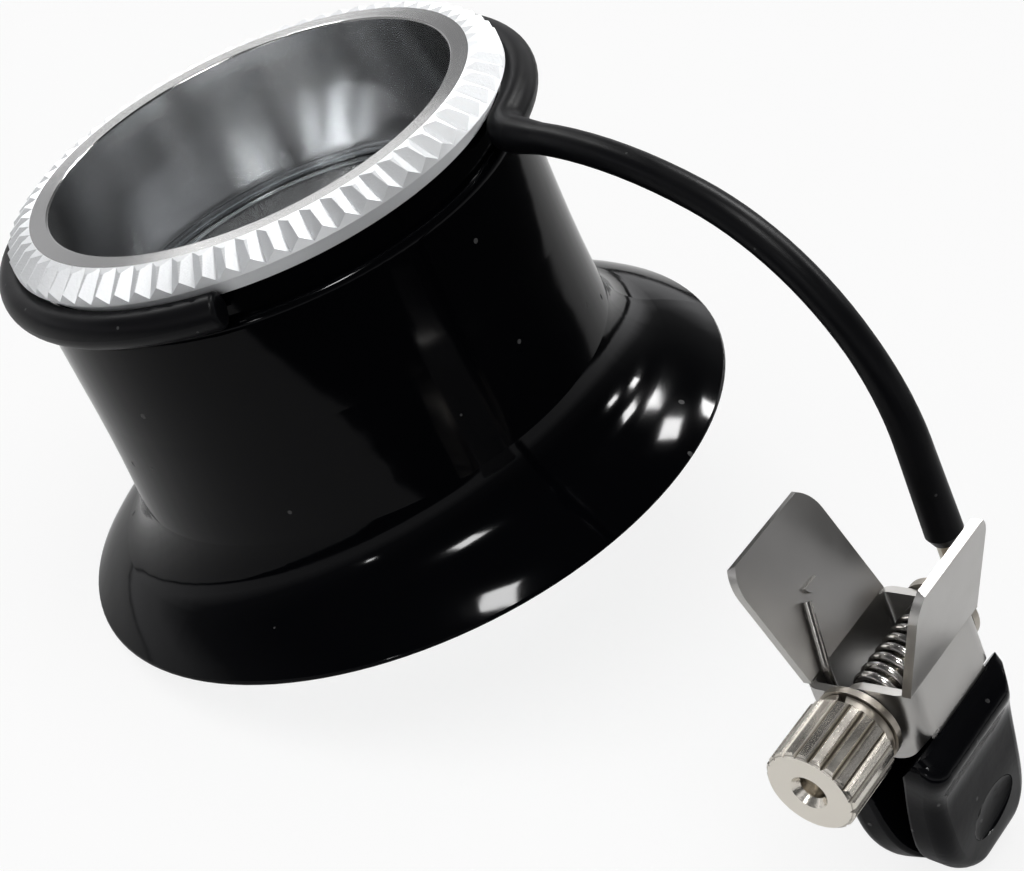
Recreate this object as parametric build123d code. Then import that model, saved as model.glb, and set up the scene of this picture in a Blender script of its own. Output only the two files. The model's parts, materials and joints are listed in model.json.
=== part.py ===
from build123d import *
import math
import os

# A clip-on eyeglass loupe: a flared eye cup, a knurled lens mount screwed into it, a wire ring that
# turns in the groove between them, and a sprung clip that swivels on the bent end of that wire.
# Millimetres. The optical axis is Z. Heights here are measured from the eye rim, and the finished
# pieces are lowered so that the origin lies on the axis within the cup's straight eye bore.

os.makedirs("parts", exist_ok=True)

# The origin's height above the eye rim
frame_z = 8.4

# Clearances
running_gap = 0.05
seat_gap = 0.03
cut_over = 1.0

# Eye cup housing
rim_r = 19.0
rim_edge_h = 0.15
rim_land = 0.8
rim_round = 0.2
flare_deg = 28.5
flare_bulge = 0.35
flare_fillet = 3.8
inner_flare_deg = 33.5
inner_flare_fillet = 5.0
barrel_r = 13.85
barrel_spread = 0.45
barrel_spread_top_z = 11.5
eye_bore_r = 12.1
neck_h = 1.34
shoulder_round = 0.45
neck_r = 13.2
thread_bore_r = 12.55
thread_floor_z = 10.1

# Lens mount with its knurled front ring; the ring's foot and the neck's top lie under its face
total_h = 21.56
neck_top_under = 2.22
band_foot_under = 1.21
knurl_foot_under = 1.11
mouth_r = 11.4
mouth_round = 0.12
crest_r = 13.0
ring_r = 14.0
crest_drop = 0.6
knurl_teeth = 70
knurl_inner_r = 12.44
skirt_foot_z = 11.1
skirt_chamfer = 0.3
lens_lip_r = 10.8
lens_lip_h = 0.8

# Lens and its snap ring
lens_edge_h = 1.6
lens_sag = 1.6
snap_ring_h = 0.35
snap_ring_w = 0.75
snap_ring_bite = 0.2
snap_ring_split_deg = 14.0

# Wire: ring, arm and hinge pin are one bent piece
wire_r = 0.6
wire_ring_r = 14.35
wire_ring_under = 2.41
ring_end_deg = -112.0
ring_bend_r = 2.2
arm_azimuth_deg = -63.2
arm_offset = 5.94
arm_reach = 34.9
arm_bow_r = 27.7
arm_bow_deg = 21.4
arm_shoulder_r = 13.4
pin_z = -3.63
pin_azimuth_deg = 36.3
pin_bend_r = 1.5
pin_corner_out = 6.04
pin_end_chamfer = 0.15

# Moulded sleeve over the wire
sleeve_ring_r = 0.95
sleeve_arm_r = 0.79
sleeve_mid_r = 0.88
sleeve_foot_r = 0.96
sleeve_swell_deg = 24.0
sleeve_foot_z = -0.9
sleeve_foot_cone = 0.5
sleeve_foot_round = 0.25
sleeve_bore_gap = 0.02
sleeve_cap = 0.6

# Clip plates, in the clip's own frame: its Y runs along the pin and its X towards the right plate
plate_t = 0.45
plate_x = 2.62
left_half_w = 3.65
right_half_w = 3.15
left_tab_half_w = 3.4
right_tab_half_w = 3.15
tab_bend_z = 1.58
tab_len = 6.4
tab_flare_deg = 21.9
tab_corner_r = 1.8
jaw_bend_z = -1.5
jaw_deg = 10.8
jaw_len = 9.3
jaw_wide_z = -1.95
jaw_half_w = 3.1
ear_bend_r = 0.95
ear_inner_r = 0.33
ear_lobe_r = 2.1
ear_lobe_x = 0.5
ear_lobe_z = -0.55
ear_top_z = 1.5
ear_foot_deg = 45.0
pip_r = 0.5
pip_h = 0.2
pip_up = 3.1

# Dipped jaw pads: places along the jaw from its bend, and thicknesses from its middle line
pad_half_w = 3.8
pad_shift = -0.38
pad_top_at = -0.1
pad_crest_at = 0.3
pad_tip_at = 10.05
pad_top_t = 0.4
pad_crest_t = 0.75
pad_belly_t = 1.05
pad_inner_t = 1.0
pad_ear_gap = 0.15
pad_gap = 0.05
pad_near_r = 4.8
pad_far_r = 2.5
pad_round_share = 0.42
pad_inner_round_share = 0.14
pad_shares = (
    (0.25, 0.84, 1.0),
    (0.5, 0.94, 1.0),
    (0.72, 1.0, 0.98),
    (0.86, 0.98, 0.94),
    (0.94, 0.88, 0.86),
    (0.98, 0.62, 0.7),
    (0.993, 0.4, 0.5),
)
dimple_across = 3.8
dimple_long = 2.6
dimple_depth = 0.35
dimple_at = 6.9

# Torsion spring round the pin
spring_wire_r = 0.235
spring_coil_r = 1.2
spring_pitch = 0.92
spring_turns = 5
spring_leave_deg = 50.0
spring_leg_run = 0.45
spring_leg_up = 2.75
spring_leg_side = 1.5
spring_leg_bend_r = 0.6
spring_points = 600

# Washers and knurled nut
rear_washer_r = 1.9
rear_washer_t = 0.45
flat_washer_r = 2.1
flat_washer_t = 0.35
spring_washer_r = 1.95
spring_washer_t = 0.45
spring_washer_split = 0.4
spring_washer_split_deg = 20.0
nut_r = 2.28
nut_len = 3.8
nut_ribs = 20
nut_rib_depth = 0.2
nut_rib_shares = (0.26, 0.74)
nut_chamfer = 0.18
nut_sink_r = 0.95
nut_sink_depth = 0.35
pin_short_of_nut = 0.9

# Heights that follow the front face
neck_top_z = total_h - neck_top_under
shoulder_z = neck_top_z - neck_h
band_foot_z = total_h - band_foot_under
wire_ring_z = total_h - wire_ring_under


def cosd(a):
    return math.cos(math.radians(a))


def sind(a):
    return math.sin(math.radians(a))


def tand(a):
    return math.tan(math.radians(a))


def turned(outline, rounds=()):
    """A solid of revolution about Z from closed edges in (r, z); rounds are (corner, radius)."""
    face = make_face(outline)
    for (r, z), radius in rounds:
        at = min(face.vertices(), key=lambda v: (v.X - r) ** 2 + (v.Y - z) ** 2)
        face = fillet(at, radius)
    return revolve(Plane.XZ * face, Axis.Z)


def flare_crown(foot_r, foot_z):
    """The middle of the flare's arc, which bulges out from the line between its two ends."""
    run, rise = rim_r - foot_r, foot_z - rim_edge_h
    span = math.hypot(run, rise)
    return foot_r + run / 2 + flare_bulge * rise / span, foot_z - rise / 2 + flare_bulge * run / span


def housing():
    foot_r = barrel_r + barrel_spread
    foot_z = rim_edge_h + (rim_r - foot_r) * tand(flare_deg)
    inner_r = rim_r - rim_land
    inner_z = (inner_r - eye_bore_r) * tand(inner_flare_deg)
    corners = [
        (rim_r, rim_edge_h),
        (rim_r, 0),
        (inner_r, 0),
        (eye_bore_r, inner_z),
        (eye_bore_r, thread_floor_z),
        (thread_bore_r, thread_floor_z),
        (thread_bore_r, neck_top_z),
        (neck_r, neck_top_z),
        (neck_r, shoulder_z),
        (barrel_r, shoulder_z),
        (barrel_r, barrel_spread_top_z),
    ]
    # The barrel leaves its straight wall tangent and spreads in one long arc to the flare
    spread = TangentArc((barrel_r, barrel_spread_top_z), (foot_r, foot_z), tangent=(0, -1))
    flare = ThreePointArc((foot_r, foot_z), flare_crown(foot_r, foot_z), (rim_r, rim_edge_h))
    rounds = [
        ((rim_r, rim_edge_h), rim_round),
        ((foot_r, foot_z), flare_fillet),
        ((barrel_r, shoulder_z), shoulder_round),
        ((eye_bore_r, inner_z), inner_flare_fillet),
    ]
    return turned([Polyline(corners), spread, flare], rounds)


def knurl_cutter():
    """One V groove, cut down the bevel of the front ring from the flat face to the outer wall."""
    pitch = 2 * math.pi * ring_r / knurl_teeth
    run = ring_r - knurl_inner_r
    slope = math.degrees(math.atan2(knurl_foot_under, run))
    depth = (knurl_foot_under - crest_drop) * cosd(slope)
    high = depth + cut_over
    half = pitch / 2 * high / depth
    section = Plane.YZ * make_face(Polyline((0, 0), (half, high), (-half, high), close=True))
    length = math.hypot(run, knurl_foot_under) + cut_over
    wedge = extrude(section, length)
    return Location((knurl_inner_r, 0, total_h), (0, slope, 0)) * wedge


def sag_point(edge_r, edge_z, way):
    """A point half way along the lens's curve, which bulges way up (1) or down (-1)."""
    sphere_r = (edge_r**2 + lens_sag**2) / (2 * lens_sag)
    half = math.asin(edge_r / sphere_r) / 2
    return sphere_r * math.sin(half), edge_z + way * (lens_sag - sphere_r * (1 - math.cos(half)))


def bezel():
    skirt_r = thread_bore_r - running_gap
    groove_r = mouth_r + snap_ring_bite + running_gap
    lens_z = skirt_foot_z + lens_lip_h
    groove_z = lens_z + lens_edge_h
    groove_top = groove_z + snap_ring_h + 2 * running_gap
    points = [
        (lens_lip_r, skirt_foot_z),
        (skirt_r - skirt_chamfer, skirt_foot_z),
        (skirt_r, skirt_foot_z + skirt_chamfer),
        (skirt_r, neck_top_z + seat_gap),
        (neck_r, neck_top_z + seat_gap),
        (ring_r, band_foot_z),
        (ring_r, total_h - crest_drop),
        (crest_r, total_h),
        (mouth_r, total_h),
        (mouth_r, groove_top),
        (groove_r, groove_top),
        (groove_r, groove_z),
        (mouth_r, groove_z),
        (mouth_r, lens_z),
        (lens_lip_r, lens_z),
    ]
    body = turned(Polyline(points, close=True), [((mouth_r, total_h), mouth_round)])
    return body - [loc * knurl_cutter() for loc in PolarLocations(0, knurl_teeth)]


def lens():
    edge_r = mouth_r - running_gap
    curve_r = lens_lip_r - running_gap
    foot_z = skirt_foot_z + lens_lip_h + seat_gap
    top_z = foot_z + lens_edge_h - 2 * seat_gap
    outline = [
        Line((0, foot_z - lens_sag), (0, top_z + lens_sag)),
        ThreePointArc((0, top_z + lens_sag), sag_point(curve_r, top_z, 1), (curve_r, top_z)),
        Line((curve_r, top_z), (edge_r, top_z)),
        Line((edge_r, top_z), (edge_r, foot_z)),
        Line((edge_r, foot_z), (curve_r, foot_z)),
        ThreePointArc((curve_r, foot_z), sag_point(curve_r, foot_z, -1), (0, foot_z - lens_sag)),
    ]
    return revolve(Plane.XZ * make_face(outline), Axis.Z)


def snap_ring():
    foot_z = skirt_foot_z + lens_lip_h + lens_edge_h + running_gap
    outer = mouth_r + snap_ring_bite
    ring = extrude(Circle(outer) - Circle(outer - snap_ring_w), snap_ring_h)
    reach = outer + cut_over
    wedge = make_face(
        Polyline(
            (0, 0),
            (reach * cosd(snap_ring_split_deg / 2), reach * sind(snap_ring_split_deg / 2)),
            (reach * cosd(snap_ring_split_deg / 2), -reach * sind(snap_ring_split_deg / 2)),
            close=True,
        )
    )
    return Pos(0, 0, foot_z) * (ring - extrude(wedge, snap_ring_h))


def arm_places():
    """The bent wire's corner points: ring end, bend off the ring, arm arcs, leg and pin."""
    d = Vector(cosd(arm_azimuth_deg), sind(arm_azimuth_deg), 0)
    n = Vector(-d.Y, d.X, 0)
    # The bend off the ring is tangent to the ring outside and to the arm's line
    off = arm_offset + ring_bend_r
    along = math.sqrt((wire_ring_r + ring_bend_r) ** 2 - off**2)
    height = Vector(0, 0, wire_ring_z)
    bend_centre = d * along + n * off
    ring_leave = bend_centre * (wire_ring_r / (wire_ring_r + ring_bend_r)) + height
    arm_start = d * along + n * arm_offset + height
    bow_run = arm_bow_r * sind(arm_bow_deg)
    shoulder_run = arm_shoulder_r * (1 - sind(arm_bow_deg))
    bow_start = d * (arm_reach - bow_run - shoulder_run) + n * arm_offset + height
    bow_end = bow_start + d * bow_run - Vector(0, 0, arm_bow_r * (1 - cosd(arm_bow_deg)))
    leg_top = bow_end + d * shoulder_run - Vector(0, 0, arm_shoulder_r * cosd(arm_bow_deg))
    corner = Vector(leg_top.X, leg_top.Y, pin_z)
    return {
        "d": d,
        "bend_centre": bend_centre + height,
        "ring_leave": ring_leave,
        "arm_start": arm_start,
        "bow_start": bow_start,
        "bow_end": bow_end,
        "leg_top": leg_top,
        "corner": corner,
    }


PLACES = arm_places()
PIN_DIR = Vector(-cosd(pin_azimuth_deg), -sind(pin_azimuth_deg), 0)
CLIP_ORIGIN = PLACES["corner"] + PIN_DIR * pin_corner_out
CLIP = Location(tuple(CLIP_ORIGIN), (0, 0, pin_azimuth_deg - 90))


def washer_stack():
    """Places along the pin, from the middle of the clip towards the nut."""
    flat = left_half_w + running_gap
    spring = flat + flat_washer_t + running_gap
    nut = spring + spring_washer_t + running_gap
    return flat, spring, nut, nut + nut_len


def ring_arc():
    leave = PLACES["ring_leave"]
    leave_deg = math.degrees(math.atan2(leave.Y, leave.X))
    sweep_deg = 360 - (leave_deg - ring_end_deg)
    start = Vector(wire_ring_r * cosd(ring_end_deg), wire_ring_r * sind(ring_end_deg), wire_ring_z)
    middle_deg = ring_end_deg - sweep_deg / 2
    middle = Vector(wire_ring_r * cosd(middle_deg), wire_ring_r * sind(middle_deg), wire_ring_z)
    return ThreePointArc(start, middle, leave)


def arc_about(centre, start, end, radius):
    """The shorter arc from start to end."""
    middle = centre + ((start - centre) + (end - centre)).normalized() * radius
    return ThreePointArc(start, middle, end)


def arm_edges():
    p = PLACES
    down = Vector(0, 0, -1)
    bow_centre = p["bow_start"] + down * arm_bow_r
    shoulder_centre = p["leg_top"] - p["d"] * arm_shoulder_r
    return {
        "ring": ring_arc(),
        "bend": arc_about(p["bend_centre"], p["ring_leave"], p["arm_start"], ring_bend_r),
        "run": Line(p["arm_start"], p["bow_start"]),
        "bow": arc_about(bow_centre, p["bow_start"], p["bow_end"], arm_bow_r),
        "shoulder": arc_about(shoulder_centre, p["bow_end"], p["leg_top"], arm_shoulder_r),
    }


def swept(edges, radius):
    """A round bar of one radius along tangent edges."""
    path = Wire(edges)
    start = path @ 0
    section = Plane(origin=start, z_dir=path % 0) * Circle(radius)
    return sweep(section, path=path)


def wire_tail():
    """The leg below the arm, the bend at its foot and the hinge pin."""
    corner = PLACES["corner"]
    up = Vector(0, 0, 1)
    bend_top = corner + up * pin_bend_r
    bend_end = corner + PIN_DIR * pin_bend_r
    pin_end = CLIP_ORIGIN + PIN_DIR * (washer_stack()[3] - pin_short_of_nut)
    return [
        Line(PLACES["leg_top"], bend_top),
        arc_about(bend_top + PIN_DIR * pin_bend_r, bend_top, bend_end, pin_bend_r),
        Line(bend_end, pin_end),
    ]


def wire():
    tail = wire_tail()
    bar = swept(list(arm_edges().values()) + tail, wire_r)
    tip = min(bar.faces(), key=lambda f: (f.center() - tail[-1] @ 1).length)
    return chamfer(tip.edges(), pin_end_chamfer)


def shoulder_parts():
    """The shoulder arc in two: of even radius, and swelling towards the leg."""
    centre = PLACES["leg_top"] - PLACES["d"] * arm_shoulder_r
    turn = sleeve_swell_deg
    up = Vector(0, 0, 1)
    split = centre + PLACES["d"] * (arm_shoulder_r * cosd(turn)) + up * (arm_shoulder_r * sind(turn))
    even = arc_about(centre, PLACES["bow_end"], split, arm_shoulder_r)
    swell = arc_about(centre, split, PLACES["leg_top"], arm_shoulder_r)
    return even, swell


def sleeve():
    edges = arm_edges()
    even, swell = shoulder_parts()
    ring_part = swept([edges["ring"], edges["bend"]], sleeve_ring_r)
    run_plane = Plane(origin=PLACES["arm_start"], z_dir=PLACES["d"])
    run_len = (PLACES["bow_start"] - PLACES["arm_start"]).length
    taper = loft([run_plane * Circle(sleeve_ring_r), run_plane.offset(run_len) * Circle(sleeve_arm_r)])
    arm_part = swept([edges["bow"], even], sleeve_arm_r)
    swell_sections = [
        Plane(origin=swell @ 0, z_dir=swell % 0) * Circle(sleeve_arm_r),
        Plane(origin=swell @ 1, z_dir=swell % 1) * Circle(sleeve_mid_r),
    ]
    swell_part = sweep(swell_sections, path=Wire([swell]), multisection=True)
    leg_plane = Plane(origin=PLACES["leg_top"], z_dir=(0, 0, -1))
    leg_len = PLACES["leg_top"].Z - sleeve_foot_z
    leg_profile = make_face(
        Polyline(
            (0, 0),
            (sleeve_mid_r, 0),
            (sleeve_foot_r, leg_len - sleeve_foot_cone),
            (sleeve_foot_r - sleeve_foot_round, leg_len),
            (0, leg_len),
            close=True,
        )
    )
    leg = revolve(Plane.XZ * leg_profile, Axis.Z)
    leg_part = leg_plane.location * leg
    cap_dir = (edges["ring"] % 0) * -1
    cap_plane = Plane(origin=edges["ring"] @ 0, z_dir=cap_dir)
    stood = (Align.CENTER, Align.CENTER, Align.MIN)
    cap = cap_plane.location * Cylinder(sleeve_ring_r, sleeve_cap, align=stood)
    cap = fillet(cap.edges().sort_by(Axis(cap_plane.origin, cap_dir))[-1], sleeve_foot_round)
    body = ring_part + taper + arm_part + swell_part + leg_part + cap
    bore_tail = Line(PLACES["leg_top"], PLACES["leg_top"] - Vector(0, 0, leg_len + cut_over))
    bore = swept(list(edges.values()) + [bore_tail], wire_r + sleeve_bore_gap)
    return body - bore


def plate_line():
    """The right plate's middle line in X and Z, from tab tip to jaw tip."""
    return [
        (plate_x + tab_len * sind(tab_flare_deg), tab_bend_z + tab_len * cosd(tab_flare_deg)),
        (plate_x, tab_bend_z),
        (plate_x, jaw_bend_z),
        jaw_point(0, jaw_len),
    ]


def jaw_point(out, at):
    """A point in X and Z: at along the jaw from its bend, and out from its middle line."""
    return (
        plate_x - at * sind(jaw_deg) + out * cosd(jaw_deg),
        jaw_bend_z - at * cosd(jaw_deg) - out * sind(jaw_deg),
    )


def sheet_outline(points, half_t):
    """A bent sheet's section: its middle line thickened to both sides."""

    def shifted(gap):
        lines = []
        for (x0, z0), (x1, z1) in zip(points, points[1:]):
            length = math.hypot(x1 - x0, z1 - z0)
            nx, nz = -(z1 - z0) / length, (x1 - x0) / length
            lines.append((x0 + nx * gap, z0 + nz * gap, x1 - x0, z1 - z0, x1 + nx * gap, z1 + nz * gap))
        out = [lines[0][:2]]
        for a, b in zip(lines, lines[1:]):
            cross = a[2] * b[3] - a[3] * b[2]
            t = ((b[0] - a[0]) * b[3] - (b[1] - a[1]) * b[2]) / cross
            out.append((a[0] + a[2] * t, a[1] + a[3] * t))
        out.append(lines[-1][4:])
        return out

    return make_face(Polyline(shifted(half_t) + shifted(-half_t)[::-1], close=True))


def extruded_both(face, half):
    """A section in X and Z, made a solid that reaches half to each side along Y."""
    return extrude(Plane.XZ * face, half, both=True)


def jaw_outline(grow, tip_z, neck_half_w):
    """A jaw seen along X, rounder at its near corner than at its far one, under a narrower neck."""
    inset = pad_half_w - jaw_half_w - grow
    top_z = jaw_wide_z + grow
    half_w = jaw_half_w + grow
    face = Pos(pad_shift, (top_z + tip_z) / 2) * Rectangle(2 * half_w, top_z - tip_z)
    face = fillet(face.vertices().group_by(Axis.Y)[0].sort_by(Axis.X)[0], pad_near_r - inset)
    face = fillet(face.vertices().group_by(Axis.Y)[0].sort_by(Axis.X)[-1], pad_far_r - inset)
    neck_h = ear_top_z - top_z
    return face + Pos(0, top_z + neck_h / 2) * Rectangle(2 * (neck_half_w + grow), neck_h)


def seen_outline(tab_half_w, body_half_w):
    """The plate's outline seen along X: round-cornered tab, body and jaw."""
    top = plate_line()[0][1] + plate_t
    tab = Pos(0, (top + ear_top_z) / 2) * Rectangle(2 * tab_half_w, top - ear_top_z)
    tab = fillet(tab.vertices().group_by(Axis.Y)[-1], tab_corner_r)
    jaw = jaw_outline(0, jaw_point(0, jaw_len)[1], body_half_w - ear_bend_r)
    return extrude(Plane.YZ * (tab + jaw), 2 * (plate_x + tab_len))


def ear_foot():
    """Where the ears' slanting foot leaves the round lobe, and where it meets the plate."""
    outer_x = plate_x + plate_t / 2
    x = ear_lobe_x + ear_lobe_r * sind(ear_foot_deg)
    z = ear_lobe_z - ear_lobe_r * cosd(ear_foot_deg)
    return (x, z), (outer_x, z + (outer_x - x) * tand(ear_foot_deg))


def ears(half_w):
    """Two ears and the plate's middle between them, bent from the sheet with round corners."""
    outer_x = plate_x + plate_t / 2
    deep = 2 * ear_lobe_r
    centre = outer_x - deep / 2
    outer = Pos(centre, 0) * Rectangle(deep, 2 * half_w)
    outer = fillet(outer.vertices().group_by(Axis.X)[-1], ear_bend_r)
    inner = Pos(centre - plate_t, 0) * Rectangle(deep, 2 * (half_w - plate_t))
    inner = fillet(inner.vertices().group_by(Axis.X)[-1], ear_inner_r)
    channel = extrude(outer - inner, deep, both=True)
    leave, meet = ear_foot()
    web = make_face(
        Polyline(
            (ear_lobe_x, ear_lobe_z), leave, meet, (outer_x, ear_top_z), (ear_lobe_x, ear_top_z), close=True
        )
    )
    lobe = Pos(ear_lobe_x, ear_lobe_z) * Circle(ear_lobe_r)
    below_top = Pos(0, ear_top_z - deep) * Rectangle(2 * deep, 2 * deep)
    side = (lobe & below_top) + web - Circle(wire_r + running_gap)
    return channel & extruded_both(side, 2 * half_w)


def pip():
    """The small half-round stop pressed out of the tab, which holds the spring's leg."""
    along = Vector(sind(tab_flare_deg), 0, cosd(tab_flare_deg))
    inward = Vector(-cosd(tab_flare_deg), 0, sind(tab_flare_deg))
    foot = Vector(plate_x, 0, tab_bend_z) + along * pip_up
    plane = Plane(origin=foot, x_dir=(0, 1, 0), z_dir=inward)
    half_disc = Circle(pip_r) & Pos(0, pip_r) * Rectangle(2 * pip_r, 2 * pip_r)
    return extrude(plane * half_disc, plate_t / 2 + pip_h)


def right_plate(half_w, tab_half_w):
    sheet = extruded_both(sheet_outline(plate_line(), plate_t / 2), pad_half_w + half_w)
    sheet = sheet & seen_outline(tab_half_w, half_w)
    foot_z = ear_foot()[1][1]
    middle = Pos(plate_x, 0, (ear_top_z + foot_z) / 2) * Box(plate_x, 3 * half_w, ear_top_z - foot_z)
    return (sheet - middle) + ears(half_w) + pip()


def above_ears_foot():
    """All that lies above the slanting line under the ears, where no pad may be."""
    meet_x, meet_z = ear_foot()[1]
    drop = pad_ear_gap / cosd(ear_foot_deg)
    reach = meet_x + plate_x
    low = (meet_x - reach, meet_z - drop - reach * tand(ear_foot_deg))
    high = (meet_x + reach, meet_z - drop + reach * tand(ear_foot_deg))
    return extruded_both(make_face(Polyline(low, high, (low[0], high[1]), close=True)), 2 * pad_half_w)


def jaw_edge(at, centre, radius, side):
    """How far to one side the pad reaches at a place along the jaw: straight, then round the tip."""
    past = at - (pad_tip_at - radius)
    if past <= 0:
        return centre + side * radius
    return centre + side * math.sqrt(radius**2 - past**2)


def pad_section(at, out, inner):
    """The pad's round-cornered section square to the jaw, with its thickness to each side."""
    near = jaw_edge(at, pad_shift - pad_half_w + pad_near_r, pad_near_r, -1)
    far = jaw_edge(at, pad_shift + pad_half_w - pad_far_r, pad_far_r, 1)
    face = Pos((near + far) / 2, (out - inner) / 2) * Rectangle(far - near, out + inner)
    face = fillet(face.vertices().group_by(Axis.Y)[-1], pad_round_share * (out + inner))
    face = fillet(face.vertices().group_by(Axis.Y)[0], pad_inner_round_share * (out + inner))
    x, z = jaw_point(0, at)
    return Plane(origin=(x, 0, z), x_dir=(0, 1, 0), z_dir=(-sind(jaw_deg), 0, -cosd(jaw_deg))) * face


def right_pad(body_half_w):
    crest = pad_section(pad_crest_at, pad_crest_t, pad_inner_t)
    top = pad_section(pad_top_at, pad_top_t, pad_inner_t)
    sections = []
    for at_share, out_share, inner_share in pad_shares:
        at = pad_crest_at + (pad_tip_at - pad_crest_at) * at_share
        sections.append(pad_section(at, pad_belly_t * out_share, pad_inner_t * inner_share))
    block = loft([top, crest], ruled=True) + loft([crest] + sections)
    tip_z = jaw_point(0, pad_tip_at)[1]
    across = Pos(pad_gap / 2 - plate_x, 0, tip_z / 2) * Box(2 * plate_x, 3 * pad_half_w, -2 * tip_z)
    block = block - across - above_ears_foot()
    pocket = extruded_both(sheet_outline(plate_line()[1:], plate_t / 2 + seat_gap), 2 * pad_half_w)
    pocket_tip_z = jaw_point(0, jaw_len + seat_gap)[1]
    seen = jaw_outline(seat_gap, pocket_tip_z, body_half_w - ear_bend_r)
    pocket = pocket & extrude(Plane.YZ * seen, 2 * plate_x + pad_half_w)
    x, z = jaw_point(pad_belly_t, dimple_at)
    dimple = scale(Sphere(1), by=(dimple_depth, dimple_across / 2, dimple_long / 2))
    dimple = Pos(x, 0, z) * (Rot(0, jaw_deg, 0) * dimple)
    return block - pocket - dimple


def mirrored(solid):
    return mirror(solid, Plane.YZ)


def biarc(p0, t0, p1, t1):
    """Two tangent arcs from p0 to p1 with the given end directions."""
    v = p1 - p0
    t = t0 + t1
    a = 4 - t.dot(t)
    b = 2 * v.dot(t)
    c = -v.dot(v)
    reach = (-b + math.sqrt(b * b - 4 * a * c)) / (2 * a)
    joint = ((p0 + t0 * reach) + (p1 - t1 * reach)) * 0.5
    first = TangentArc(p0, joint, tangent=t0)
    second = TangentArc(joint, p1, tangent=(p1 - t1 * reach - joint).normalized())
    return [first, second]


def rounded_line(places, radius):
    """Straight runs through the places, with each inner corner rounded."""
    edges = []
    last = places[0]
    for before, corner, after in zip(places, places[1:], places[2:]):
        back, on = (before - corner).normalized(), (after - corner).normalized()
        cut = radius / math.tan(math.acos(back.dot(on)) / 2)
        leave, meet = corner + back * cut, corner + on * cut
        edges += [Line(last, leave), TangentArc(leave, meet, tangent=back * -1)]
        last = meet
    return edges + [Line(last, places[-1])]


def spring_leg(root, tangent, side):
    """The corners of a leg: off the coil, out to the plate, up it and up the tab. Side is -1 or 1."""
    off = plate_t / 2 + spring_wire_r + seat_gap
    inside_ear = right_half_w - plate_t - spring_wire_r - running_gap
    along = Vector(side * sind(tab_flare_deg), 0, cosd(tab_flare_deg))
    out = root + tangent * spring_leg_run
    reach = (side * (plate_x - off) - out.X) / tangent.X
    low = Vector(out.X + tangent.X * reach, math.copysign(inside_ear, root.Y), out.Z + tangent.Z * reach)
    knee = Vector(low.X, low.Y, tab_bend_z + off * tand(tab_flare_deg / 2))
    tip = knee + along * spring_leg_up - Vector(0, math.copysign(spring_leg_side, low.Y), 0)
    return [out, low, knee, tip]


def spring():
    lead = spring_pitch / (2 * math.pi * spring_coil_r)
    total = 2 * math.pi * spring_turns + math.pi - 2 * math.radians(spring_leave_deg)
    first = -math.radians(spring_leave_deg)
    span = spring_pitch * total / (2 * math.pi)

    def at(turn):
        angle = first - turn
        place = Vector(
            spring_coil_r * math.cos(angle),
            span / 2 - span * turn / total,
            spring_coil_r * math.sin(angle),
        )
        way = Vector(math.sin(angle), -lead, -math.cos(angle)).normalized()
        return place, way

    steps = math.ceil(total / (math.pi / 2))
    coil = []
    for i in range(steps):
        (p0, t0), (p1, t1) = at(total * i / steps), at(total * (i + 1) / steps)
        coil += biarc(p0, t0, p1, t1)
    (start, start_way), (end, end_way) = at(0), at(total)
    right_leg = spring_leg(start, start_way * -1, 1)
    left_leg = spring_leg(end, end_way, -1)
    edges = rounded_line(right_leg[::-1] + [start], spring_leg_bend_r)
    edges += coil
    edges += rounded_line([end] + left_leg, spring_leg_bend_r)
    path = Wire(edges)
    count = spring_points
    points = [path @ (i / count) for i in range(count + 1)]
    skip = int(count * math.pi * spring_coil_r / path.length)
    nearest = min((points[i] - points[j]).length for i in range(count) for j in range(i + skip, count + 1))
    print("spring's least gap to itself", round(nearest - 2 * spring_wire_r, 3), "mm")
    return swept(edges, spring_wire_r)


def washer(radius, thick):
    return extrude(Circle(radius) - Circle(wire_r + running_gap), thick)


def on_pin(solid, out):
    """Turn a solid of revolution about Z so that it lies on the pin, from out towards the nut."""
    return Pos(0, -out, 0) * (Rot(90, 0, 0) * solid)


def split_washer():
    flat = washer(spring_washer_r, spring_washer_t)
    cut = Rot(0, spring_washer_split_deg, 0) * Box(
        spring_washer_split, 2 * spring_washer_r, 2 * spring_washer_r
    )
    return flat - Pos(0, spring_washer_r, spring_washer_t / 2) * cut


def knurled_nut():
    """The nut stands on z = 0: flat-topped ribs, chamfered ends and a sunk hole at its far end."""
    rise_share, fall_share = nut_rib_shares
    corners = ((0, nut_r - nut_rib_depth), (rise_share, nut_r), (fall_share, nut_r))
    points = []
    for i in range(nut_ribs):
        for share, radius in corners:
            turn = 360 / nut_ribs * (i + share)
            points.append((radius * cosd(turn), radius * sind(turn)))
    ribbed = extrude(make_face(Polyline(points, close=True)), nut_len)
    stood = (Align.CENTER, Align.CENTER, Align.MIN)
    envelope = chamfer(Cylinder(nut_r, nut_len, align=stood).edges(), nut_chamfer)
    bore_r = wire_r + running_gap
    bore = Cylinder(bore_r, nut_len, align=stood)
    sink = Pos(0, 0, nut_len - nut_sink_depth) * Cone(bore_r, nut_sink_r, nut_sink_depth, align=stood)
    return (ribbed & envelope) - bore - sink


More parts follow.
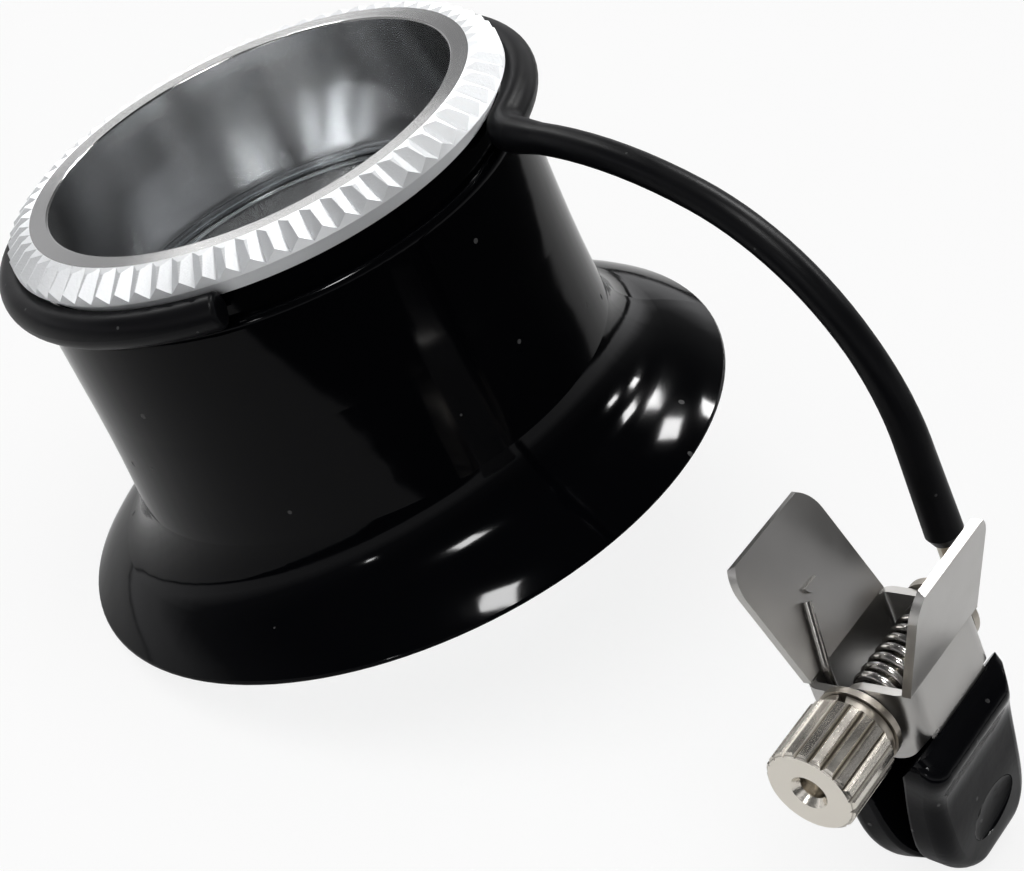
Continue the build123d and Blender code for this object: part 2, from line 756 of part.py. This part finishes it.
def main():
    flat_at, spring_at, nut_at, _ = washer_stack()
    right = right_plate(right_half_w, right_tab_half_w)
    left = mirrored(right_plate(left_half_w, left_tab_half_w))
    pieces = {
        "eye_cup_housing": housing(),
        "bezel_ring": bezel(),
        "lens": lens(),
        "lens_snap_ring": snap_ring(),
        "arm_wire": wire(),
        "arm_sleeve": sleeve(),
        "jaw_plate_right": CLIP * right,
        "jaw_plate_left": CLIP * left,
        "jaw_pad_right": CLIP * right_pad(right_half_w),
        "jaw_pad_left": CLIP * mirrored(right_pad(left_half_w)),
        "torsion_spring": CLIP * spring(),
        "rear_washer": CLIP * on_pin(
            washer(rear_washer_r, rear_washer_t), -left_half_w - running_gap - rear_washer_t
        ),
        "flat_washer": CLIP * on_pin(washer(flat_washer_r, flat_washer_t), flat_at),
        "spring_washer": CLIP * on_pin(split_washer(), spring_at),
        "knurled_nut": CLIP * on_pin(knurled_nut(), nut_at),
    }
    for name, solid in pieces.items():
        export_step(Pos(0, 0, -frame_z) * solid, f"parts/{name}.step")


main()
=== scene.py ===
import json
import math

import bpy
from mathutils import Matrix, Vector


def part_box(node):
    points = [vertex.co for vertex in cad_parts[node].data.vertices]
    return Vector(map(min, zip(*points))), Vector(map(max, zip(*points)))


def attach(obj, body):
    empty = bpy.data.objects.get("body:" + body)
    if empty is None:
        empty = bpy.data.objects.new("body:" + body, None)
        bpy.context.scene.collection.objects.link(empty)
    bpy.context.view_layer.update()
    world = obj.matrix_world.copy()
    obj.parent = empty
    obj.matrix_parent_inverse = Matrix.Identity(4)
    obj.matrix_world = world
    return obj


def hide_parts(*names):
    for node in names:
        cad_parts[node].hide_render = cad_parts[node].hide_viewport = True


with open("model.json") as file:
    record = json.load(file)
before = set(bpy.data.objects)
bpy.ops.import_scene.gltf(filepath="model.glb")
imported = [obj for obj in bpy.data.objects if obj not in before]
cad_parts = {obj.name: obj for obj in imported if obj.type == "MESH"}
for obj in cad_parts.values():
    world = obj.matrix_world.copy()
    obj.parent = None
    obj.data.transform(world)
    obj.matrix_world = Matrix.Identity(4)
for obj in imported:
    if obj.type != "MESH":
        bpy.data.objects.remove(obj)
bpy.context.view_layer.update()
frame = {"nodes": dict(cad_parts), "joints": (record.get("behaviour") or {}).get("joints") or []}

# The eyeglass loupe lies on its eye rim's edge and on its clip, so the table is tilted in its frame.
# Metres. The optical axis is Z, and the origin is on it, inside the eye bore.

# Camera
camera_place = (0.0, -0.11977, 0.05888)
camera_right = (0.897, -0.254, -0.363)
camera_up = (0.441, 0.433, 0.787)
camera_back = (-0.043, -0.865, 0.500)
lens_mm = 85.39
sensor_mm = 36.0

# Table: the way up in the loupe's frame, and how far the sheet reaches from under the origin
table_up = Vector((0.332, -0.0835, 0.9396)).normalized()
table_left = 0.16
table_right = 0.12
table_near = 0.05
table_far = 0.2
table_gap = 0.00002
table_colour = (0.95, 0.95, 0.948)
table_roughness = 0.9
table_glow_share = 0.85

# Light: ceiling panels and a wall light, placed as (right, away) at unit height and seen in the gloss only,
# and one wide soft light for the rest
room_height = 1.2
panel_side = 0.19
panel_watts = 10.0
panel_spots = (
    (-0.164, -0.369),
    (-1.04, -1.87),
    (0.42, 0.56),
    (0.2, 0.81),
    (0.77, 0.83),
    (1.0, 0.49),
    (-0.9, 0.9),
)
wall_spot = (-0.7, 1.37)
wall_side = 0.7
wall_watts = 4.6
soft_spot = (-0.25, -0.2)
soft_side = 1.6
soft_watts = 17.0
# The room's level by height, from straight down (0) to straight up (1), and what the camera sees of it
room_levels = ((0.0, 0.03), (0.495, 0.03), (0.505, 0.95), (0.58, 0.95), (0.66, 0.22), (0.8, 0.07), (1.0, 0.05))
room_blue = 1.02
room_seen = (0.985, 0.985, 0.985)

MM = 0.001

# Clip, in millimetres: its frame has Y along the pin, away from the nut, and X towards the right plate
half_plate_t = 0.225
plate_x = 2.62
tab_bend_z = 1.58
tab_flare = math.radians(21.9)

# Torsion spring, as tightly wound as the real one. The left leg is a thinner wire that laps inside the coil.
spring_wire_r = 0.235
spring_coil_r = 1.2
spring_pitch = 0.665
spring_turns = 7
spring_leave = math.radians(50.0)
spring_leg_run = 0.45
spring_leg_up = 2.75
spring_leg_side = 1.5
spring_leg_bend_r = 0.6
spring_leg_y = 2.415
spring_gap = 0.03
coil_steps = 24
leg_lap_steps = 4
leg_wire_r = 0.228

# Lens mount: its mouth, where the knurl starts, and how far down the smooth band lies
mount_mouth_r = 11.4
knurl_inner_r = 12.44
band_drop = 1.15

# Nut: its outer size, where its far end lies along the pin, and how far in its grooves are painted with shade
nut_r = 2.28
nut_end_out = 8.35
nut_side_in = 0.23
groove_foot_in = 0.17
groove_top_in = 0.06

# Threads of the lens mount and of the pin: pitch, ridge size and how far the ridge stands out
skirt_r = 12.5
skirt_foot_z = 3.1
skirt_top_z = 10.8
skirt_pitch = 0.75
skirt_ridge_r = 0.2
skirt_ridge_stand = 0.035
pin_r = 0.6
pin_thread_from = 4.7
pin_thread_to = 7.4
pin_pitch = 0.25
pin_ridge_r = 0.07
pin_ridge_stand = 0.02
thread_sides = 8

# Finishes: relief depths in metres, noise scales per metre, and what dust, the nut's painted groove shade or
# turning adds to the roughness
cloud_range = (0.3, 0.7)
speck_r = 0.16
dust_colour = (0.05, 0.05, 0.05)
dust_roughness = 0.4
dust_haze = 0.3
ripple_scale = 420.0
ripple_depth = 0.00002
ripple_strength = 0.5
mark_depth = 0.0000012
cut_scale = 7000.0
cut_height = 11.0
band_roughness = 0.5
nut_grain_scale = 9000.0
nut_grain_depth = 0.000006
groove_shade_roughness = 0.25


def away_and_right():
    """The table's own directions, away from the camera and to its right."""
    away = -Vector(camera_back)
    away = (away - table_up * away.dot(table_up)).normalized()
    return away, away.cross(table_up)


def link(thing):
    bpy.context.scene.collection.objects.link(thing)
    return thing


def make_camera():
    data = bpy.data.cameras.new("camera")
    data.lens = lens_mm
    data.sensor_width = sensor_mm
    data.clip_start = 0.005
    data.clip_end = 20.0
    camera = link(bpy.data.objects.new("camera", data))
    turn = Matrix((camera_right, camera_up, camera_back)).transposed()
    camera.matrix_world = Matrix.Translation(camera_place) @ turn.to_4x4()
    bpy.context.scene.camera = camera


class Tree:
    """Short ways to add and join nodes."""

    def __init__(self, tree):
        self.tree = tree

    def node(self, kind, values=None, **settings):
        made = self.tree.nodes.new(kind)
        for name, value in settings.items():
            setattr(made, name, value)
        for name, value in (values or {}).items():
            if isinstance(value, bpy.types.NodeSocket):
                self.tree.links.new(value, made.inputs[name])
            else:
                made.inputs[name].default_value = value
        return made

    def math(self, operation, *values):
        return self.node("ShaderNodeMath", dict(enumerate(values)), operation=operation).outputs[0]

    def mix(self, share, first, second):
        made = self.node("ShaderNodeMix", {0: share}, data_type="RGBA")
        for name, value in (("A_Color", first), ("B_Color", second)):
            socket = next(s for s in made.inputs if s.identifier == name)
            if isinstance(value, bpy.types.NodeSocket):
                self.tree.links.new(value, socket)
            else:
                socket.default_value = (*value, 1.0)
        return next(s for s in made.outputs if s.identifier == "Result_Color")

    def between(self, value, from_low, from_high, to_low, to_high):
        values = {"Value": value, "From Min": from_low, "From Max": from_high}
        values.update({"To Min": to_low, "To Max": to_high})
        return self.node("ShaderNodeMapRange", values).outputs[0]

    def place(self):
        return self.node("ShaderNodeTexCoord").outputs["Object"]

    def noise(self, place, scale, detail):
        return self.node("ShaderNodeTexNoise", {"Vector": place, "Scale": scale, "Detail": detail}).outputs[0]

    def vector(self, operation, first, second):
        return self.node("ShaderNodeVectorMath", {0: first, 1: tuple(second)}, operation=operation)


def new_group(name, inputs, outputs):
    """An empty shader group with number inputs and outputs: name to first value."""
    group = bpy.data.node_groups.new(name, "ShaderNodeTree")
    for label, value in inputs.items():
        kind = "NodeSocketVector" if value is None else "NodeSocketFloat"
        socket = group.interface.new_socket(label, in_out="INPUT", socket_type=kind)
        if value is not None:
            socket.default_value = value
    for label in outputs:
        group.interface.new_socket(label, in_out="OUTPUT", socket_type="NodeSocketFloat")
    tree = Tree(group)
    return group, tree, tree.node("NodeGroupInput"), tree.node("NodeGroupOutput")


def mottle_group():
    """A soft cloudy value between two levels, for uneven gloss."""
    group, tree, start, end = new_group(
        "uneven_gloss", {"Place": None, "Size": 0.002, "Low": 0.1, "High": 0.2}, ["Value"]
    )
    scale = tree.math("DIVIDE", 1.0, start.outputs["Size"])
    noise = tree.noise(start.outputs["Place"], scale, 2.0)
    value = tree.between(noise, *cloud_range, start.outputs["Low"], start.outputs["High"])
    tree.tree.links.new(value, end.inputs["Value"])
    return group


def lathe_group():
    """Turning marks: fine rings round Z, with a slow change from pass to pass."""
    group, tree, start, end = new_group(
        "turning_marks", {"Place": None, "Feed": 0.00012, "Wander": 0.3}, ["Rings", "Radius"]
    )
    parts = tree.node("ShaderNodeSeparateXYZ", {0: start.outputs["Place"]})
    x, y, z = parts.outputs
    radius = tree.math("SQRT", tree.math("ADD", tree.math("MULTIPLY", x, x), tree.math("MULTIPLY", y, y)))
    rise = tree.math("ADD", radius, z)
    turns = tree.math("DIVIDE", rise, start.outputs["Feed"])
    wave = tree.math("SINE", tree.math("MULTIPLY", turns, math.tau))
    slow = tree.node("ShaderNodeCombineXYZ", {"X": turns, "Y": 0.0, "Z": 0.0})
    noise = tree.noise(slow.outputs[0], 0.6, 2.0)
    rings = tree.math("ADD", wave, tree.math("MULTIPLY", noise, start.outputs["Wander"]))
    tree.tree.links.new(rings, end.inputs["Rings"])
    tree.tree.links.new(radius, end.inputs["Radius"])
    return group


def speck_group():
    """Sparse dust specks as a mask."""
    group, tree, start, end = new_group("dust_specks", {"Place": None, "Size": 0.0004, "Share": 0.02}, ["Mask"])
    scale = tree.math("DIVIDE", 1.0, start.outputs["Size"])
    cells = tree.node("ShaderNodeTexVoronoi", {"Vector": start.outputs["Place"], "Scale": scale})
    small = tree.math("LESS_THAN", cells.outputs["Distance"], speck_r)
    pick = tree.node("ShaderNodeSeparateColor", {0: cells.outputs["Color"]})
    some = tree.math("LESS_THAN", pick.outputs[0], start.outputs["Share"])
    tree.tree.links.new(tree.math("MULTIPLY", small, some), end.inputs["Mask"])
    return group


def bent_wire_tree():
    """Geometry nodes: rounds a path's corners by its points' radii and draws a round wire along it."""
    group = bpy.data.node_groups.new("bent_wire", "GeometryNodeTree")
    kinds = {
        "Path": "NodeSocketGeometry",
        "Wire radius": "NodeSocketFloat",
        "Sides": "NodeSocketInt",
        "Bend steps": "NodeSocketInt",
        "Finish": "NodeSocketMaterial",
    }
    for label, kind in kinds.items():
        group.interface.new_socket(label, in_out="INPUT", socket_type=kind)
    group.interface.new_socket("Wire", in_out="OUTPUT", socket_type="NodeSocketGeometry")
    tree = Tree(group)
    start, end = tree.node("NodeGroupInput"), tree.node("NodeGroupOutput")
    bend_r = tree.node("GeometryNodeInputRadius").outputs[0]
    bends = {"Curve": start.outputs["Path"], "Count": start.outputs["Bend steps"], "Radius": bend_r}
    bends["Limit Radius"] = True
    rounded = tree.node("GeometryNodeFilletCurve", bends, mode="POLY")
    even = tree.node("GeometryNodeSetCurveRadius", {"Curve": rounded.outputs[0], "Radius": 1.0})
    ring = tree.node(
        "GeometryNodeCurvePrimitiveCircle",
        {"Resolution": start.outputs["Sides"], "Radius": start.outputs["Wire radius"]},
        mode="RADIUS",
    )
    sweep = {"Curve": even.outputs[0], "Profile Curve": ring.outputs[0], "Fill Caps": True}
    wire = tree.node("GeometryNodeCurveToMesh", sweep)
    smooth = tree.node("GeometryNodeSetShadeSmooth", {"Geometry": wire.outputs[0]})
    real = tree.node("GeometryNodeRealizeInstances", {"Geometry": smooth.outputs[0]})
    made = tree.node(
        "GeometryNodeSetMaterial", {"Geometry": real.outputs[0], "Material": start.outputs["Finish"]}
    )
    group.links.new(made.outputs[0], end.inputs["Wire"])
    return group


WIRE_TREE = bent_wire_tree()


def plain_mesh(name, source, tree, inputs):
    """Runs a geometry node tree on an object and keeps the result as a plain mesh."""
    modifier = source.modifiers.new("make", "NODES")
    modifier.node_group = tree
    for item in tree.interface.items_tree:
        if item.item_type == "SOCKET" and item.in_out == "INPUT" and item.name in inputs:
            modifier[item.identifier] = inputs[item.name]
    bpy.context.view_layer.update()
    seen = source.evaluated_get(bpy.context.evaluated_depsgraph_get())
    mesh = bpy.data.meshes.new_from_object(seen)
    mesh.name = name
    source.modifiers.remove(modifier)
    bpy.data.objects.remove(source)
    return link(bpy.data.objects.new(name, mesh))


def bent_wire(name, places, radius, finish, closed=False, sides=16):
    """A wire along places: pairs of a point and the radius of its bend, all in metres."""
    curve = bpy.data.curves.new(name + "_path", "CURVE")
    curve.dimensions = "3D"
    spline = curve.splines.new("POLY")
    spline.points.add(len(places) - 1)
    for point, (place, bend_r) in zip(spline.points, places):
        point.co = (*place, 1.0)
        point.radius = bend_r
    spline.use_cyclic_u = closed
    source = link(bpy.data.objects.new(name + "_path", curve))
    inputs = {"Wire radius": radius, "Sides": sides, "Bend steps": 8, "Finish": finish}
    return plain_mesh(name, source, WIRE_TREE, inputs)


GROUPS = {"gloss": mottle_group(), "lathe": lathe_group(), "specks": speck_group()}


def use(tree, name, values):
    """Place a shared effect in a material, with this material's own values."""
    return tree.node("ShaderNodeGroup", values, node_tree=GROUPS[name])


def new_material(name, **settings):
    """A material with one Principled shader, whose plain sockets are set straight on it."""
    material = bpy.data.materials.new(name)
    material.use_nodes = True
    tree = Tree(material.node_tree)
    shader = next(n for n in material.node_tree.nodes if n.type == "BSDF_PRINCIPLED")
    for label, value in settings.items():
        shader.inputs[label.replace("_", " ")].default_value = value
    return material, tree, shader


def feed(tree, shader, **sockets):
    for label, value in sockets.items():
        tree.tree.links.new(value, shader.inputs[label.replace("_", " ")])


def bump(tree, height, depth, strength=1.0):
    return tree.node("ShaderNodeBump", {"Height": height, "Distance": depth, "Strength": strength}).outputs[0]


def cup_gloss():
    material, tree, shader = new_material("cup_black_gloss", IOR=1.18)
    place = tree.place()
    rough = use(tree, "gloss", {"Place": place, "Size": 0.006, "Low": 0.05, "High": 0.11})
    dust = use(tree, "specks", {"Place": place, "Size": 0.0011, "Share": 0.05})
    ripple = bump(tree, tree.noise(place, ripple_scale, 1.0), ripple_depth, ripple_strength)
    colour = tree.mix(dust.outputs[0], (0.001, 0.0011, 0.0016), dust_colour)
    roughness = tree.math("ADD", rough.outputs[0], tree.math("MULTIPLY", dust.outputs[0], dust_roughness))
    feed(tree, shader, Base_Color=colour, Roughness=roughness, Normal=ripple)
    return material


def aluminium():
    material, tree, shader = new_material(
        "turned_aluminium", Metallic=1.0, Anisotropic=0.75, Anisotropic_Rotation=0.25
    )
    place = tree.place()
    marks = use(tree, "lathe", {"Place": place, "Feed": 0.00005, "Wander": 2.5})
    cloud = use(tree, "gloss", {"Place": place, "Size": 0.004, "Low": 0.13, "High": 0.17})
    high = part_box("bezel_ring")[1]
    height = tree.node("ShaderNodeSeparateXYZ", {0: place}).outputs[2]
    on_outside = tree.math("GREATER_THAN", marks.outputs["Radius"], knurl_inner_r * MM)
    on_face = tree.math("GREATER_THAN", height, high[2] - band_drop * MM)
    on_knurl = tree.math("MULTIPLY", on_outside, on_face)
    roughness = tree.math("ADD", cloud.outputs[0], tree.math("MULTIPLY", on_outside, band_roughness))
    tone = tree.between(marks.outputs["Rings"], -1.0, 3.0, 0.0, 1.0)
    bright = tree.mix(tone, (0.78, 0.79, 0.80), (0.88, 0.89, 0.90))
    # Painted shade: the flat face between the mouth and the knurl gets a darker colour for a dimmer reflection
    # there
    past_mouth = tree.math("GREATER_THAN", marks.outputs["Radius"], mount_mouth_r * MM)
    shaded_flat_face = tree.math("MULTIPLY", on_face, tree.math("SUBTRACT", past_mouth, on_outside))
    colour = tree.mix(shaded_flat_face, bright, (0.42, 0.42, 0.415))
    cuts = tree.math("MULTIPLY", tree.math("MULTIPLY", tree.noise(place, cut_scale, 1.0), on_knurl), cut_height)
    relief = bump(tree, tree.math("ADD", marks.outputs["Rings"], cuts), mark_depth)
    feed(tree, shader, Base_Color=colour, Roughness=roughness, Normal=relief)
    return material


def lens_glass():
    # Painted shade: the grey base colour dims what is seen through the lens, which is clear glass
    material, tree, shader = new_material(
        "lens_glass", Base_Color=(0.72, 0.74, 0.75, 1.0), Transmission_Weight=1.0, IOR=1.52
    )
    place = tree.place()
    dust = use(tree, "specks", {"Place": place, "Size": 0.0009, "Share": 0.04})
    feed(tree, shader, Roughness=tree.math("MULTIPLY", dust.outputs[0], dust_haze))
    return material


def nickel(name, low, high, tint, shade, grain, depth):
    """Plated metal: gloss between two roughness levels, a slow change between two tones, and a fine grain."""
    material, tree, shader = new_material(name, Metallic=1.0)
    place = tree.place()
    cloud = use(tree, "gloss", {"Place": place, "Size": 0.0016, "Low": low, "High": high})
    fine = bump(tree, tree.noise(place, 1.0 / grain, 2.0), depth)
    tone = use(tree, "gloss", {"Place": place, "Size": 0.0035, "Low": 0.0, "High": 1.0})
    colour = tree.mix(tone.outputs[0], tint, shade)
    feed(tree, shader, Base_Color=colour, Roughness=cloud.outputs[0], Normal=fine)
    return material


def nut_nickel():
    """Warm nickel, with painted shade darkening the grooves between the nut's ribs, where the roughness is
    raised too.
    """
    material, tree, shader = new_material("nut_nickel", Metallic=1.0)
    place = tree.place()
    pin, _, along = clip_frame()
    out = tree.vector("SUBTRACT", place, pin).outputs[0]
    square = tree.vector("CROSS_PRODUCT", out, along).outputs[0]
    radius = tree.node("ShaderNodeVectorMath", {0: square}, operation="LENGTH").outputs["Value"]
    groove = tree.between(radius, (nut_r - groove_foot_in) * MM, (nut_r - groove_top_in) * MM, 1.0, 0.0)
    length = tree.vector("DOT_PRODUCT", out, along).outputs["Value"]
    on_side = tree.math("GREATER_THAN", radius, (nut_r - nut_side_in) * MM)
    inside = tree.math("LESS_THAN", length, -nut_end_out * MM)
    groove_shade = tree.math("MULTIPLY", groove, tree.math("MULTIPLY", on_side, tree.math("SUBTRACT", 1.0, inside)))
    cloud = use(tree, "gloss", {"Place": place, "Size": 0.0012, "Low": 0.19, "High": 0.26})
    fine = bump(tree, tree.noise(place, nut_grain_scale, 1.0), nut_grain_depth)
    # Painted shade: the grooves between the ribs get a dark colour
    colour = tree.mix(groove_shade, (0.74, 0.70, 0.63), (0.12, 0.105, 0.085))
    roughness = tree.math("ADD", cloud.outputs[0], tree.math("MULTIPLY", groove_shade, groove_shade_roughness))
    feed(tree, shader, Base_Color=colour, Roughness=roughness, Normal=fine)
    return material


def black_rubber(name, low, high, grain, depth, **settings):
    """Black moulded or dipped covering: near-black, with its own gloss and grain."""
    material, tree, shader = new_material(name, **settings)
    place = tree.place()
    rough = use(tree, "gloss", {"Place": place, "Size": 0.003, "Low": low, "High": high})
    dust = use(tree, "specks", {"Place": place, "Size": 0.0007, "Share": 0.06})
    fine = bump(tree, tree.noise(place, 1.0 / grain, 3.0), depth)
    colour = tree.mix(dust.outputs[0], (0.0025, 0.0026, 0.0034), dust_colour)
    feed(tree, shader, Base_Color=colour, Roughness=rough.outputs[0], Normal=fine)
    return material


def table_material():
    """Matt white, part of it given back as plain white to the camera, and clear from below."""
    material, tree, shader = new_material("table_white", Roughness=table_roughness, Specular_IOR_Level=0.0)
    shader.inputs["Base Color"].default_value = (*table_colour, 1.0)
    out = next(n for n in material.node_tree.nodes if n.type == "OUTPUT_MATERIAL")
    back = tree.node("ShaderNodeNewGeometry").outputs["Backfacing"]
    clear = tree.node("ShaderNodeBsdfTransparent")
    path = tree.node("ShaderNodeLightPath")
    white = tree.node("ShaderNodeEmission", {"Color": (1.0, 1.0, 1.0, 1.0), "Strength": 1.0})
    share = tree.math("MULTIPLY", path.outputs["Is Camera Ray"], table_glow_share)
    pale = tree.node("ShaderNodeMixShader", {0: share, 1: shader.outputs[0], 2: white.outputs[0]})
    both = tree.node("ShaderNodeMixShader", {0: back, 1: pale.outputs[0], 2: clear.outputs[0]})
    tree.tree.links.new(both.outputs[0], out.inputs["Surface"])
    return material


def make_table():
    """A plain sheet under the loupe, seen from above only."""
    lowest = min(table_up.dot(v.co) for node in frame["nodes"].values() for v in node.data.vertices)
    away, right = away_and_right()
    middle = table_up * (lowest - table_gap)
    ends = (
        (-table_left, -table_near),
        (table_right, -table_near),
        (table_right, table_far),
        (-table_left, table_far),
    )
    corners = [middle + right * r + away * a for r, a in ends]
    mesh = bpy.data.meshes.new("table")
    mesh.from_pydata(corners, [], [(0, 1, 2, 3)])
    mesh.materials.append(table_material())
    table = link(bpy.data.objects.new("table", mesh))
    return middle


def area_light(name, place, target, size, watts, in_gloss=True):
    data = bpy.data.lights.new(name, "AREA")
    data.shape = "SQUARE"
    data.size = size
    data.energy = watts
    light = link(bpy.data.objects.new(name, data))
    turn = (target - place).to_track_quat("-Z", "Y")
    light.matrix_world = Matrix.Translation(place) @ turn.to_matrix().to_4x4()
    light.visible_camera = False
    light.visible_glossy = in_gloss
    light.visible_diffuse = not in_gloss
    return light


def make_lights(middle):
    away, right = away_and_right()

    def overhead(spot):
        return middle + (table_up + right * spot[0] + away * spot[1]) * room_height

    for number, spot in enumerate(panel_spots):
        place = overhead(spot)
        area_light(f"ceiling_panel_{number}", place, place - table_up, panel_side, panel_watts)
    area_light("wall_light", overhead(wall_spot), middle, wall_side, wall_watts)
    area_light("soft_light", overhead(soft_spot), middle, soft_side, soft_watts, in_gloss=False)


def make_world():
    """A dim room with a pale band just above the table's level, and white to the camera."""
    world = bpy.data.worlds.new("room")
    bpy.context.scene.world = world
    world.use_nodes = True
    tree = Tree(world.node_tree)
    ground = next(n for n in world.node_tree.nodes if n.type == "BACKGROUND")
    way = tree.node("ShaderNodeTexCoord").outputs["Generated"]
    height = tree.vector("DOT_PRODUCT", way, table_up).outputs["Value"]
    ramp = tree.node("ShaderNodeValToRGB", {0: tree.between(height, -1.0, 1.0, 0.0, 1.0)})
    while len(ramp.color_ramp.elements) < len(room_levels):
        ramp.color_ramp.elements.new(0.5)
    for element, (position, level) in zip(ramp.color_ramp.elements, room_levels):
        element.position = position
        element.color = (level, level, level * room_blue, 1.0)
    path = tree.node("ShaderNodeLightPath")
    colour = tree.mix(path.outputs["Is Camera Ray"], ramp.outputs[0], room_seen)
    tree.tree.links.new(colour, ground.inputs["Color"])


def dress_nodes():
    """Puts a finish on every CAD piece."""
    plate_tones = (0.49, 0.48, 0.465), (0.45, 0.44, 0.425)
    spring_tones = (0.31, 0.3, 0.29), (0.23, 0.22, 0.21)
    finishes = {
        "eye_cup_housing": cup_gloss(),
        "bezel_ring": aluminium(),
        "lens": lens_glass(),
        "lens_snap_ring": black_rubber("blackened_steel", 0.3, 0.45, 0.0002, 0.000002),
        "arm_wire": nickel("drawn_wire", 0.2, 0.26, (0.62, 0.58, 0.5), (0.45, 0.41, 0.35), 0.0001, 0.000002),
        "arm_sleeve": black_rubber("sleeve_vinyl", 0.32, 0.42, 0.00012, 0.000003, IOR=1.2),
        "washer": nickel("washer_plate", 0.285, 0.36, (0.5, 0.47, 0.42), (0.36, 0.32, 0.27), 0.0001, 0.000003),
        "knurled_nut": nut_nickel(),
        "jaw_plate": nickel("plate_nickel", 0.285, 0.33, *plate_tones, 0.0006, 0.000001),
        "jaw_pad": black_rubber("pad_dip", 0.09, 0.16, 0.0012, 0.00002, IOR=1.2),
        "torsion_spring": nickel("spring_wire", 0.18, 0.26, *spring_tones, 0.0002, 0.0000015),
    }
    for name, node in frame["nodes"].items():
        key = next(k for k in finishes if k in name)
        node.data.materials.clear()
        node.data.materials.append(finishes[key])
    return finishes


def clip_frame():
    """The clip's place from its opening joint: pin point and the directions of X, Y and Z."""
    joint = next(j for j in frame["joints"] if j["name"] == "jaw_open")
    along = Vector(joint["axis"]).normalized()
    return Vector(joint["pos_m"]), along.cross(Vector((0.0, 0.0, 1.0))), along


def in_clip(place):
    """A place given in millimetres in the clip's frame, in metres in the shared frame."""
    pin, across, along = clip_frame()
    x, y, z = place
    return pin + (across * x + along * y + Vector((0.0, 0.0, z))) * MM


def spring_leg(root, way, side):
    """The corners of a leg: off the coil, out to the plate, up it and bent over on the tab."""
    off = half_plate_t + spring_wire_r + spring_gap
    tab = Vector((side * math.sin(tab_flare), 0.0, math.cos(tab_flare)))
    out = root + way * spring_leg_run
    reach = (side * (plate_x - off) - out.x) / way.x
    low = Vector((out.x + way.x * reach, math.copysign(spring_leg_y, root.y), out.z + way.z * reach))
    knee = Vector((low.x, low.y, tab_bend_z + off * math.tan(tab_flare / 2)))
    tip = knee + tab * spring_leg_up - Vector((0.0, math.copysign(spring_leg_side, low.y), 0.0))
    return [(out, 0.0), (low, spring_leg_bend_r), (knee, spring_leg_bend_r), (tip, 0.0)]


def spring_piece(name, places, wire_r, finish, body):
    """A bent wire through places in the clip's frame, riding on one of its bodies."""
    places = [(in_clip(point), bend_r * MM) for point, bend_r in places]
    piece = bent_wire(name, places, wire_r * MM, finish)
    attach(piece, body)
    return piece


def make_spring(finish):
    """The coil with its right leg, and the left leg."""
    total = math.tau * spring_turns + math.pi - 2 * spring_leave
    span = spring_pitch * total / math.tau
    count = int(total / math.tau * coil_steps)
    coil = []
    for step in range(count + 1):
        turn = total * step / count
        angle = -spring_leave - turn
        middle = span / 2 - span * turn / total
        coil.append(Vector((spring_coil_r * math.cos(angle), middle, spring_coil_r * math.sin(angle))))
    first_way = Vector((-math.sin(-spring_leave), 0.0, math.cos(-spring_leave)))
    last_angle = -spring_leave - total
    last_way = Vector((math.sin(last_angle), 0.0, -math.cos(last_angle)))
    right = spring_leg(coil[0], first_way, 1)
    left = spring_leg(coil[-1], last_way, -1)
    coil = [(point, 0.0) for point in coil]
    spring = spring_piece("coiled_spring", right[::-1] + coil, spring_wire_r, finish, "clip_right")
    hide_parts("torsion_spring")
    # The left leg turns with the left plate, and its lap keeps the wire whole when the jaws open
    spring_piece("spring_left_leg", coil[-leg_lap_steps:] + left, leg_wire_r, finish, "clip_left")


def helix(radius, start, end, pitch):
    """Points of a right-handed thread round Z from start to end, in millimetres."""
    count = int((end - start) / pitch * coil_steps)
    points = []
    for step in range(count + 1):
        turn = math.tau * step / coil_steps
        height = start + pitch * step / coil_steps
        points.append(Vector((radius * math.cos(turn), radius * math.sin(turn), height)))
    return points


def make_threads(mount_finish, pin_finish):
    """Thread ridges on the lens mount's skirt and on the pin."""
    skirt = helix(skirt_r + skirt_ridge_stand - skirt_ridge_r, skirt_foot_z, skirt_top_z, skirt_pitch)
    places = [(point * MM, 0.0) for point in skirt]
    thread = bent_wire("lens_mount_thread", places, skirt_ridge_r * MM, mount_finish, sides=thread_sides)
    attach(thread, "bezel")
    pin = helix(pin_r + pin_ridge_stand - pin_ridge_r, pin_thread_from, pin_thread_to, pin_pitch)
    places = [(in_clip((point.x, -point.z, point.y)), 0.0) for point in pin]
    thread = bent_wire("pin_thread", places, pin_ridge_r * MM, pin_finish, sides=thread_sides)
    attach(thread, "arm")


bpy.context.scene.view_settings.view_transform = "Standard"
make_camera()
finishes = dress_nodes()
make_spring(finishes["torsion_spring"])
make_threads(finishes["bezel_ring"], finishes["arm_wire"])
middle = make_table()
make_lights(middle)
make_world()
